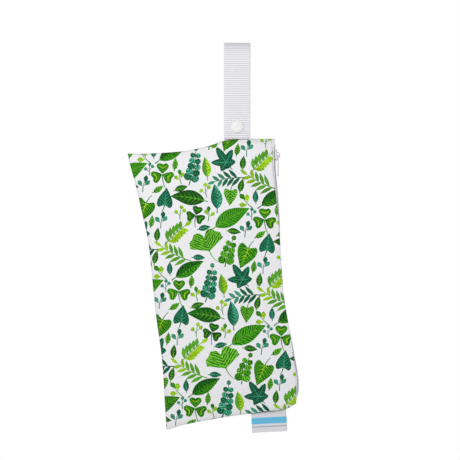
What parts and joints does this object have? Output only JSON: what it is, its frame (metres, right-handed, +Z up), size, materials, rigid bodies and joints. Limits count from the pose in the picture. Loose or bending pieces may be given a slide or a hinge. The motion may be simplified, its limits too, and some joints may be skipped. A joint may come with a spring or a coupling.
{
  "type": "wet bag clutch",
  "caption": "Flat hanging pouch of printed waterproof cloth with a side zip, a snapped webbing loop and a sewn-in tag, for wet swimwear.",
  "frame": {"origin": "inside top of the webbing loop, where the clutch hangs on a rail or hook", "axes": "+Z up, +X towards the zip side, the front of the pouch faces -Y"},
  "size_m": [0.1633, 0.0245, 0.3715],
  "materials": {
    "printed_cloth": "white laminated knit with a green leaf print",
    "zip_tape": "white woven zip tape",
    "zip_coil": "white nylon coil",
    "slider_enamel": "white enamel on a cast slider",
    "webbing": "white ribbed webbing",
    "snap_plastic": "off-white moulded resin",
    "label_ribbon": "white woven ribbon with a pale blue stripe"
  },
  "bodies": {
    "bag": {"front_panel": "printed_cloth", "back_panel": "printed_cloth", "zip_tape_front": "zip_tape", "zip_tape_back": "zip_tape", "zip_coil": "zip_coil", "zip_slider": "slider_enamel", "strap": "webbing", "snap_cap": "snap_plastic", "snap_core": "snap_plastic", "snap_back_cap": "snap_plastic", "label": "label_ribbon"},
    "pull": {"zip_pull": "slider_enamel"}
  },
  "joints": [
    {"name": "zip_pull_swing", "type": "hinge", "parent": "bag", "child": "pull", "pos_m": [0.03908, 0, -0.10581], "axis": [0, -1, 0], "range_deg": [0, 165]}
  ]
}
